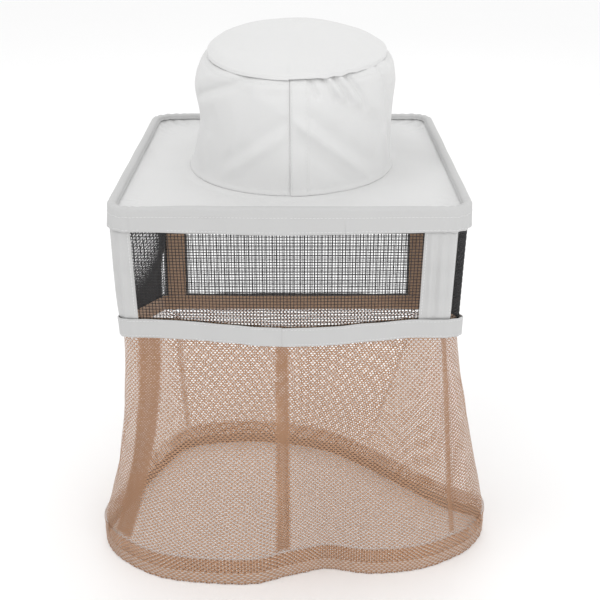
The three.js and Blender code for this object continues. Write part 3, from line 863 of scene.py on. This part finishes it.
def material_of(kind):
    """The one material of a kind, made when it is first asked for."""
    if kind not in MATERIALS:
        hues = bpy.context.scene.hat_colours
        makers = {
            "cotton": (cotton_material, hues.cotton),
            # The band material is a heavier cloth that also carries painted shade for the bands and posts.
            "band": (cotton_material, hues.band),
            "tape": (tape_material, hues.tape),
            "net": (net_material, hues.net),
            "screen": (screen_material, hues.screen),
            "elastic": (elastic_material, hues.elastic),
            "steel": (steel_material, hues.steel),
            "thread": (thread_material, [min(1.0, c * 1.08) for c in hues.cotton]),
            "tan_thread": (thread_material, [c * 1.1 for c in hues.net]),
        }
        maker, hue = makers[kind]
        MATERIALS[kind] = maker("hat_" + kind, tuple(hue))
    return MATERIALS[kind]


def settle(piece, node, body):
    """The piece stands for a node of the frame, whose part it hides, and moves with a body."""
    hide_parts(node)
    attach(piece, body)


def span(piece):
    """The piece's placement is baked into its mesh."""
    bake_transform(piece)


def fold_up(piece, back):
    """Gives the piece a mesh of its own; back is not used."""
    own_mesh(piece)


# ---- Operators ----


class HatOperator:
    """What every piece's operator shares."""

    bl_options = {"REGISTER", "UNDO"}

    @property
    def sizes(self):
        return bpy.context.scene.hat_sizes


class HAT_OT_stage(HatOperator, bpy.types.Operator):
    """Floor, soft light and camera"""

    bl_idname = "hat.stage"
    bl_label = "Stage"

    def execute(self, context):
        scene = context.scene
        scene.view_settings.view_transform = "Standard"
        paint = Paint("studio_floor", scene.hat_colours.floor, 0.95)
        paint.feed("Base Color", paint.shade(paint.noise(3.0), 0.99, 1.0))
        low = FLOOR_Z - 0.2
        turns = ((-1, -1), (1, -1), (1, 1), (-1, 1))
        corners = [(x * FLOOR_HALF, y * FLOOR_HALF, low) for x, y in turns]
        floor = make_mesh("floor", corners, [np.array([[0, 1, 2, 3]])], paint.material)
        world = bpy.data.worlds.new("studio")
        world.use_nodes = True
        background = world.node_tree.nodes["Background"]
        background.inputs["Color"].default_value = (1, 1, 1, 1)
        background.inputs["Strength"].default_value = 1.0
        scene.world = world
        for name, place, size, power in LAMPS:
            lamp = bpy.data.lights.new(name, "AREA")
            lamp.size = size
            lamp.energy = power
            holder = bpy.data.objects.new(name, lamp)
            holder.location = place
            scene.collection.objects.link(holder)
            away = LAMP_AIM - holder.location
            holder.rotation_euler = away.to_track_quat("-Z", "Y").to_euler()
        camera = bpy.data.objects.new("camera", bpy.data.cameras.new("camera"))
        camera.location = CAMERA_PLACE
        camera.rotation_euler = (math.radians(CAMERA_TILT), 0, 0)
        camera.data.lens = LENS
        camera.data.sensor_width = SENSOR
        scene.collection.objects.link(camera)
        scene.camera = camera
        return {"FINISHED"}


class HAT_OT_crown(HatOperator, bpy.types.Operator):
    """Crown sides, tip and sweatband"""

    bl_idname = "hat.crown"
    bl_label = "Crown"

    def execute(self, context):
        depth = self.sizes.crown_fold / MM
        cotton = material_of("cotton")
        lines = []
        start = 0.04
        end = BACK_SEAM - start
        marks = edge_marks(start, end, 1.5, 0.5)
        for name, turn in (("right", 1), ("left", -1)):
            def side(along, height, out, turn=turn):
                thin = edge_thin(along, start, end, 0.5)
                out = out * thin - COTTON / 2 * (1 - thin)
                return crown_side(turn * along / CROWN_RADIUS, height, out, depth)

            section = leaf(0.0, CROWN_FRONT_HEIGHT, -COTTON, 0.0, 84)
            piece = shell("crown_side_" + name + "_cloth", side, marks, section, cotton)
            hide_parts("crown_side_" + name)
            span(piece)
            heights = np.linspace(3, CROWN_FRONT_HEIGHT - 4, 120)
            insets = (1.8, 16.2) if name == "right" else (1.8,)
            for inset in insets:
                lines.append(surface_line(side, 0 * heights + inset, heights, 0.05))
            back = 312.5 if name == "left" else 324.4
            lines.append(surface_line(side, 0 * heights + back, heights, 0.05))
            arc = np.linspace(3, 323, 420)
            lines.append(surface_line(side, arc, CROWN_FRONT_HEIGHT - 4.2, 0.05))
        threads = sew("crown_stitches", lines, material_of("thread"), self.sizes)
        span(threads)
        self.tip(cotton)
        self.sweatband(cotton, depth)
        return {"FINISHED"}

    def tip(self, cotton):
        angles = np.linspace(0, TURN, 300, endpoint=False)
        spans = ((0, 0.9, 46), (0.905, 0.968, 10), (0.972, 0.998, 8))
        shares = np.concatenate([np.linspace(*part) for part in spans])
        rows = [(s, COTTON + GAP) for s in shares] + [(1.0, COTTON / 2 + GAP)]
        rows += [(s, GAP) for s in shares[::-1]]
        share, lift = np.array(rows).T
        turn, out = grid(angles, share)
        points = tip_surface(turn, out, np.broadcast_to(lift, out.shape))
        loop = len(share)
        centre = [points[:, 0].mean(0), points[:, -1].mean(0)]
        body = points[:, 1:-1].reshape(-1, 3)
        width = loop - 2
        i, j = grid(np.arange(len(angles)), np.arange(width - 1))
        after = (i + 1) % len(angles)
        quads = [i * width + j, after * width + j, after * width + j + 1, i * width + j + 1]
        quads = np.stack(quads, -1)
        here = np.arange(len(angles)) * width
        there = np.roll(here, -1)
        top = np.stack([there, here, 0 * here + len(body)], -1)
        under = np.stack([here + width - 1, there + width - 1, 0 * here + len(body) + 1], -1)
        verts = np.concatenate([body, centre])
        groups = outwards(verts, [quads.reshape(-1, 4), np.concatenate([top, under])])
        piece = make_mesh("crown_tip_cloth", verts, groups, cotton, verts[:, :2] * MM)
        settle(piece, "crown_tip", "crown_top")

    def sweatband(self, cotton, depth):
        def band(along, height, out):
            out = out + 0.25 * ripple(along, height, 41, 18)
            return crown_side(along / CROWN_RADIUS, height, out, depth * 0.2)

        marks = np.linspace(-BACK_SEAM, BACK_SEAM, 300, endpoint=False)
        section = leaf(0.4, 28.0, -3.1, -2.1, 12)
        piece = shell("sweatband_cloth", band, marks, section, cotton, ring=True)
        settle(piece, "crown_sweatband", "hat")


class HAT_OT_deck(HatOperator, bpy.types.Operator):
    """Flat square deck round the crown"""

    bl_idname = "hat.deck"
    bl_label = "Deck"

    def execute(self, context):
        depth = self.sizes.deck_fold / MM
        shares = np.concatenate([np.linspace(0, 0.62, 22), np.linspace(0.64, 1.0, 30)])
        section = [(s, 0.0) for s in shares] + [(s, 1.2) for s in shares[::-1]]

        def place(u, share, below):
            return deck_surface(u, share, below, depth)

        piece = shell("deck_cloth", place, ring_marks(1.6), section, material_of("cotton"), ring=True)
        flat = piece.data.uv_layers["Cloth"]
        where = np.array([v.co[:2] for v in piece.data.vertices], np.float32)
        corners = np.zeros(len(piece.data.loops), np.int32)
        piece.data.loops.foreach_get("vertex_index", corners)
        flat.data.foreach_set("uv", where[corners].ravel())
        settle(piece, "deck", "hat")
        return {"FINISHED"}


def band_lap(u, start, fade):
    """The step where one end of a band laps over the other."""
    past = np.mod(u - start, PERIMETER)
    return 0.9 * blur_step(past / 0.7) * np.exp(-past / fade)


def upper_band_surface(u, up, out):
    """On the upper band: up from the deck, out from the hoop's axis."""
    hang = np.clip((UPPER_WIRE_Z - up) / (UPPER_WIRE_Z + UPPER_BAND_DROP), 0, 1)
    outer = (out > 0) * 1.0
    folds = 0.5 + 0.5 * ripple(u, up, 51, 42, 2.5)
    corner = (0.5 + 0.5 * np.sin(u / 1.55 + ripple(u, 0, 52, 40))) * near_corner(u, 34)
    gathers = (1.3 + 1.6 * hill(u - 146, 16)) * corner
    stand = hang * outer * (1.3 * np.clip(folds, 0, 1.6) + gathers + band_lap(u, 50, 14))
    drop = 3.0 * front_share(u) * hang * outer
    rise = (1 - hang) * rim_wave(u)
    return hoop_frame(UPPER, u, out + stand, up - drop + rise)


def lower_band_surface(u, up, out):
    """On the lower band: up from the hoop, out from its axis."""
    folds = 0.5 + 0.5 * ripple(u, up, 55, 38, 3.0)
    corner = (0.5 + 0.5 * np.sin(u / 1.8 + 1.0)) * near_corner(u, 30)
    edge = 0.35 * ripple(u, 0, 56, 50) * np.abs(up) / LOWER_BAND_HALF
    stand = 1.3 * np.clip(folds, 0, 1.6) + 1.1 * corner + band_lap(u, -8, 12)
    return hoop_frame(LOWER, u, out + stand, up + edge)


class HAT_OT_bands(HatOperator, bpy.types.Operator):
    """Upper band, lower band and the tape inside the lower one"""

    bl_idname = "hat.bands"
    bl_label = "Bands"

    def execute(self, context):
        # Band cotton: heavier cloth, darkened further as painted shade on the bands' front faces.
        cotton = material_of("band")
        middle = (WIRE_TO_CLOTH + BAND_OUT) / 2
        turns = np.linspace(0, math.pi, 17)
        path = [(middle, up) for up in np.linspace(-UPPER_BAND_DROP + COTTON / 2, UPPER_WIRE_Z, 18)[:-1]]
        wide = middle + 1.4
        path += [(wide * math.cos(a) - 1.4, UPPER_WIRE_Z + (middle + 0.2) * math.sin(a)) for a in turns]
        path += [(-5.3, 4.4), (-5.7, 3.7), (-6.3, 3.3)]
        marks = np.union1d(np.round(ring_marks(1.3), 4), np.arange(49.6, 51.6, 0.25))
        section = thick(path, COTTON)
        upper = shell("upper_band_cloth", upper_band_surface, marks, section, cotton, ring=True)
        settle(upper, "upper_band", "hat")
        section = leaf(-LOWER_BAND_HALF, LOWER_BAND_HALF, WIRE_TO_CLOTH, BAND_OUT, 18)
        marks = np.union1d(np.round(ring_marks(1.3), 4), np.arange(-8.4, -6.4, 0.25))
        lower = shell("lower_band_cloth", lower_band_surface, marks, section, cotton, ring=True)
        settle(lower, "lower_band", "lower_hoop")

        def tape_surface(u, up, out):
            return hoop_frame(LOWER, u, out - 0.3 * np.clip(ripple(u, up, 57, 30, 3.0), 0, 1), up)

        inner = -WIRE_TO_CLOTH - 0.8
        section = leaf(-LOWER_TAPE_HALF, LOWER_TAPE_HALF, inner, -WIRE_TO_CLOTH, 12)
        tape = shell(
            "lower_tape_cloth", tape_surface, ring_marks(2.5), section, material_of("tape"), ring=True)
        settle(tape, "lower_tape", "lower_hoop")
        self.stitches()
        return {"FINISHED"}

    def stitches(self):
        us = np.arange(0, PERIMETER + 1, 1.0)
        thread = material_of("thread")
        rows = [surface_line(upper_band_surface, us, up, BAND_OUT + 0.05) for up in (-12.6, -0.5)]
        upper = sew("upper_band_stitches", rows, thread, self.sizes)
        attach(upper, "hat")
        rows = [surface_line(lower_band_surface, us, up, BAND_OUT + 0.05) for up in (-8.0, 8.0)]
        lower = sew("lower_band_stitches", rows, thread, self.sizes)
        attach(lower, "lower_hoop")


class HAT_OT_posts(HatOperator, bpy.types.Operator):
    """Cotton strips down the box's corners, and the tapes behind them"""

    bl_idname = "hat.posts"
    bl_label = "Posts"

    def execute(self, context):
        lines = {True: [], False: []}
        for number, (name, at) in enumerate(POSTS.items()):
            back = name.startswith("back")
            self.tape(name, at, back)
            lines[back] += self.post(name, at, number, back)
        for back, rows in lines.items():
            name = "post_stitches_back" if back else "post_stitches_front"
            threads = sew(name, rows, material_of("thread"), self.sizes)
            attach(threads, "hat")
            fold_up(threads, back)
        return {"FINISHED"}

    def post(self, name, at, number, back):
        start, end = at - POST_WIDTH / 2, at + POST_WIDTH / 2
        face = 0.95
        top, bottom = UPPER_BAND_DROP - 4.0, LOWER_BAND_HALF - 4.0
        length = float(wall_height(np.array(at), top, bottom))

        def place(u, share, out):
            down = share * wall_height(u, top, bottom)
            tucked = blur_step(1 - (np.minimum(share, 1 - share) * length - 3.6) / 2.5)
            thin = edge_thin(u, start, end) * (1 - 0.12 * tucked)
            out = (out - face - COTTON / 2) * thin + face + COTTON / 2 - 0.38 * tucked
            inset = np.clip(np.minimum(u - start, end - u) / 5, 0, 1)
            wave = 0.5 + 0.5 * np.sin(u / 1.55 + 0.012 * down * (number % 2 * 2 - 1) + number)
            soft = 0.5 + 0.5 * ripple(u, down, 61 + number, 16, 4.0)
            middle = (1 - tucked) * (0.45 + 0.55 * np.sin(math.pi * np.clip(share, 0, 1)))
            stand = inset * middle * (2.1 * wave + 1.2 * np.clip(soft, 0, 1.5))
            return wall(u, down, out + stand, top, bottom)

        section = [(d / length, o) for d, o in leaf(0.0, length, face, face + COTTON, 70)]
        # The post cloth uses band cotton, which holds painted shade as well as a heavier cloth.
        piece = shell("post_" + name + "_cloth", place, edge_marks(start, end, 0.75), section,
                      material_of("band"))
        settle(piece, "post_" + name, "hat")
        fold_up(piece, back)
        shares = np.linspace(6 / length, 1 - 6 / length, 220)
        return [surface_line(place, 0 * shares + u, shares, face + COTTON + 0.05)
                for u in (start + 2.2, end - 2.2)]

    def tape(self, name, at, back):
        start, end = at - POST_TAPE_WIDTH / 2, at + POST_TAPE_WIDTH / 2
        top, bottom = 1.5, LOWER_TAPE_HALF + GAP

        def place(u, down, out):
            return wall(u, down * wall_height(u, top, bottom), out, top, bottom)

        length = float(wall_height(np.array(at), top, bottom))
        section = [(d / length, o) for d, o in leaf(0.0, length, -1.75, -0.95, 40)]
        piece = shell("post_tape_" + name + "_cloth", place, np.linspace(start, end, 20), section,
                      material_of("tape"))
        settle(piece, "post_tape_" + name, "hat")
        fold_up(piece, back)


class HAT_OT_screens(HatOperator, bpy.types.Operator):
    """Woven screens on the box's four sides"""

    bl_idname = "hat.screens"
    bl_label = "Screens"

    def execute(self, context):
        places = list(POSTS.values())
        for side, (name, sag) in enumerate(SCREEN_SAGS.items()):
            start = places[(side + 3) % 4] - (0 if side else PERIMETER)
            self.screen(name, start + 0.15, places[side] - 0.15, sag)
        return {"FINISHED"}

    def screen(self, name, start, end, sag):
        pitch = self.sizes.screen_pitch / MM
        radius = self.sizes.screen_wire / MM / 2
        top, bottom = 1.5, WIRE_TO_CLOTH
        us = np.arange(start + radius, end - radius, pitch)
        heights = wall_height(us, top, bottom)
        downs = np.arange(radius, heights.max(), pitch)

        def place(u, down, out):
            low = start + POST_WIDTH / 2
            across = np.clip((u - low) / (end - start - POST_WIDTH), 0, 1)
            t = np.clip(down / wall_height(u, top, bottom), 0, 1)
            dent = sag * (np.sin(math.pi * across) * np.sin(math.pi * t)) ** 2
            return wall(u, down, out - dent, top, bottom)

        u, down = grid(us, downs)
        i, j = grid(np.arange(len(us)), np.arange(len(downs)))
        over = 0.3 * (1 - 2 * ((i + j) % 2))
        inside = down <= heights[:, None] - radius
        points, quads, maps = [], [], []
        count = 0
        for upright in (True, False):
            lift = over if upright else -over
            step = (radius, 0.0) if upright else (0.0, radius)
            four = [place(u + step[0], down + step[1], lift), place(u, down, lift + radius),
                    place(u - step[0], down - step[1], lift), place(u, down, lift - radius)]
            ring = np.stack(four, 2)
            index = count + (np.arange(u.size).reshape(u.shape)[..., None] * 4 + np.arange(4))
            here, there = (index[:, :-1], index[:, 1:]) if upright else (index[:-1], index[1:])
            kept = (inside[:, :-1] & inside[:, 1:]) if upright else (inside[:-1] & inside[1:])
            side = np.stack([here, there, np.roll(there, -1, -1), np.roll(here, -1, -1)], -1)[kept]
            before = np.zeros_like(inside)
            after = np.zeros_like(inside)
            if upright:
                before[:, 1:], after[:, :-1] = kept, kept
            else:
                before[1:], after[:-1] = kept, kept
            quads += [side.reshape(-1, 4), index[after & ~before][:, ::-1], index[before & ~after]]
            points.append(ring.reshape(-1, 3))
            spread = np.stack([u / (end - start) - start / (end - start), down / downs.max()], -1)
            maps.append(np.repeat(spread.reshape(-1, 2), 4, 0))
            count += u.size * 4
        points = np.concatenate(points)
        quads = np.concatenate(quads)
        used, quads = np.unique(quads, return_inverse=True)
        points = points[used]
        bake = np.concatenate(maps)[used] * 0.96 + 0.02
        groups = outwards(points, [quads.reshape(-1, 4)])
        screen = material_of("screen")
        piece = make_mesh("screen_" + name + "_wires", points, groups, screen, bake=bake)
        settle(piece, "screen_" + name, "hat")
        fold_up(piece, name == "back")
        width = (end - start) * MM
        cut = width * float(heights.mean()) * MM
        0.62 * cut


class HAT_OT_skirt(HatOperator, bpy.types.Operator):
    """Net panels of the skirt and the seams between them"""

    bl_idname = "hat.skirt"
    bl_label = "Skirt"

    def execute(self, context):
        cell = self.sizes.net_cell / MM
        thread = self.sizes.net_thread / MM
        scale = PERIMETER / HOOP_MARKS
        seams = [(name, at * scale, width) for name, (at, width) in SEAMS.items()]
        for index, (name, at, width) in enumerate(seams):
            following = seams[(index + 1) % len(seams)][1]
            following += PERIMETER if following < at else 0
            self.panel(PANELS[index], at, following, cell, thread)
            self.seam(name, at, width, cell, thread)
        return {"FINISHED"}

    def panel(self, name, start, end, cell, thread):
        low = FLOOR_Z + HEM_HEIGHT + GAP + cell * 0.6

        def place(u, z):
            return skirt(u, z, net_wave(u, z))

        def keep(u, z):
            top = hoop_frame(LOWER, u, 0, -WIRE_TO_CLOTH)[..., 2]
            return (z < top - cell * 0.6) & (u > start + cell * 0.6) & (u < end - cell * 0.6)

        box = (start + cell * 0.65, end, low, -100.0)
        points, quads, spread, area = honeycomb(place, box, keep, cell, thread)
        piece = make_mesh("net_" + name + "_cloth", points, [quads], material_of("net"), bake=spread)
        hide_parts("net_" + name)
        span(piece)
        width = (end - start) * MM
        tall = np.ptp(points[:, 2]) * MM
        area * MM**2

    def seam(self, name, at, width, cell, thread):
        low = FLOOR_Z + HEM_HEIGHT + GAP + cell * 0.6
        parts = []
        for layer, shift in ((-0.95, 0.0), (-1.55, 0.5)):
            def place(u, z, layer=layer):
                return skirt(u, z, layer + net_wave(u, z))

            def keep(u, z):
                top = hoop_frame(LOWER, u, 0, -LOWER_BAND_HALF)[..., 2]
                return (z < top - cell * 0.7) & (np.abs(u - at) <= width / 2 - thread)

            box = (at - width / 2 + cell * shift / 2, at + width / 2 + cell, low + shift * cell, -110.0)
            parts.append(honeycomb(place, box, keep, cell * 0.68, thread * 0.84))
        points, quads, spread, area = join_nets(parts)
        net = material_of("net")
        piece = make_mesh("net_seam_" + name + "_cloth", points, [quads], net, bake=spread)
        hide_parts("net_seam_" + name)
        span(piece)
        tall = np.ptp(points[:, 2]) * MM
        flat = (2 * width * MM, tall)
        area * MM**2


class HAT_OT_hem(HatOperator, bpy.types.Operator):
    """Doubled net of the hem, the elastic in it and its stitching"""

    bl_idname = "hat.hem"
    bl_label = "Hem"

    def execute(self, context):
        cell = self.sizes.net_cell / MM
        thread = self.sizes.net_thread / MM
        middle = 1.4
        leg = HEM_HEIGHT - middle
        turn = math.pi * middle

        def casing(u, v):
            angle = np.clip((v - leg) / middle, 0, math.pi)
            up = middle - middle * np.sin(angle)
            up = up + np.maximum(0, leg - v) + np.maximum(0, v - leg - turn)
            ruffle = 0.35 * np.sin(u / 1.9) * (up < 17)
            return hem_frame(u, middle * np.cos(angle) + ruffle, up)

        count = round(PERIMETER / cell)
        step = PERIMETER / count
        box = (0.0, PERIMETER - step * 0.4, 0.0, 2 * leg + turn)
        points, quads, spread, area = honeycomb(casing, box, None, step, thread * 1.1)
        piece = make_mesh("hem_casing_cloth", points, [quads], material_of("net"), bake=spread)
        settle(piece, "hem_casing", "hem")
        area *= MM**2 * HEM_LENGTH / PERIMETER

        def elastic_face(u, up, out):
            rib = 0.12 * np.cos(up * 2 * math.pi / 2.3) * np.sign(out)
            return hem_frame(u, out + rib + 0.35 * np.sin(u / 1.9), up)

        section = leaf(1.2, 15.0, -0.55, 0.55, 25)
        marks = np.linspace(0, PERIMETER, 900, endpoint=False)
        elastic = shell(
            "hem_elastic_band", elastic_face, marks, section, material_of("elastic"), ring=True)
        settle(elastic, "hem_elastic", "hem")
        us = np.linspace(0, PERIMETER, 1300)

        def face(u, up, out):
            return hem_frame(u, out, up)

        lines = [surface_line(face, us, up, out) for up, out in ((17.5, 1.6), (31.5, 1.6))]
        stitches = sew("hem_stitches", lines, material_of("tan_thread"), self.sizes)
        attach(stitches, "hem")
        return {"FINISHED"}


class HAT_OT_hoops(HatOperator, bpy.types.Operator):
    """Finish of the sprung steel hoops and their ferrules"""

    bl_idname = "hat.hoops"
    bl_label = "Hoops"

    def execute(self, context):
        steel = material_of("steel")
        for hoop in ("upper_hoop", "lower_hoop"):
            for name in (hoop, hoop + "_ferrule"):
                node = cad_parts[name]
                for slot in node.material_slots:
                    slot.material = steel
        return {"FINISHED"}


OPERATORS = (
    HAT_OT_stage, HAT_OT_crown, HAT_OT_deck, HAT_OT_bands, HAT_OT_posts, HAT_OT_screens,
    HAT_OT_skirt, HAT_OT_hem, HAT_OT_hoops,
)


class HAT_PT_panel(bpy.types.Panel):
    """The hat's sizes, colours and pieces"""

    bl_idname = "HAT_PT_panel"
    bl_label = "Square-veil hat"
    bl_space_type = "VIEW_3D"
    bl_region_type = "UI"
    bl_category = "Hat"

    def draw(self, context):
        for group in (context.scene.hat_sizes, context.scene.hat_colours):
            for name in group.__annotations__:
                self.layout.prop(group, name)
        for operator in OPERATORS:
            self.layout.operator(operator.bl_idname)


CLASSES = (HatSizes, HatColours, *OPERATORS, HAT_PT_panel)


def register():
    for item in CLASSES:
        bpy.utils.register_class(item)
    bpy.types.Scene.hat_sizes = PointerProperty(type=HatSizes)
    bpy.types.Scene.hat_colours = PointerProperty(type=HatColours)


def unregister():
    del bpy.types.Scene.hat_colours
    del bpy.types.Scene.hat_sizes
    for item in reversed(CLASSES):
        bpy.utils.unregister_class(item)


def main():
    register()
    for operator in OPERATORS:
        family, name = operator.bl_idname.split(".")
        getattr(getattr(bpy.ops, family), name)()


if __name__ == "__main__":
    main()
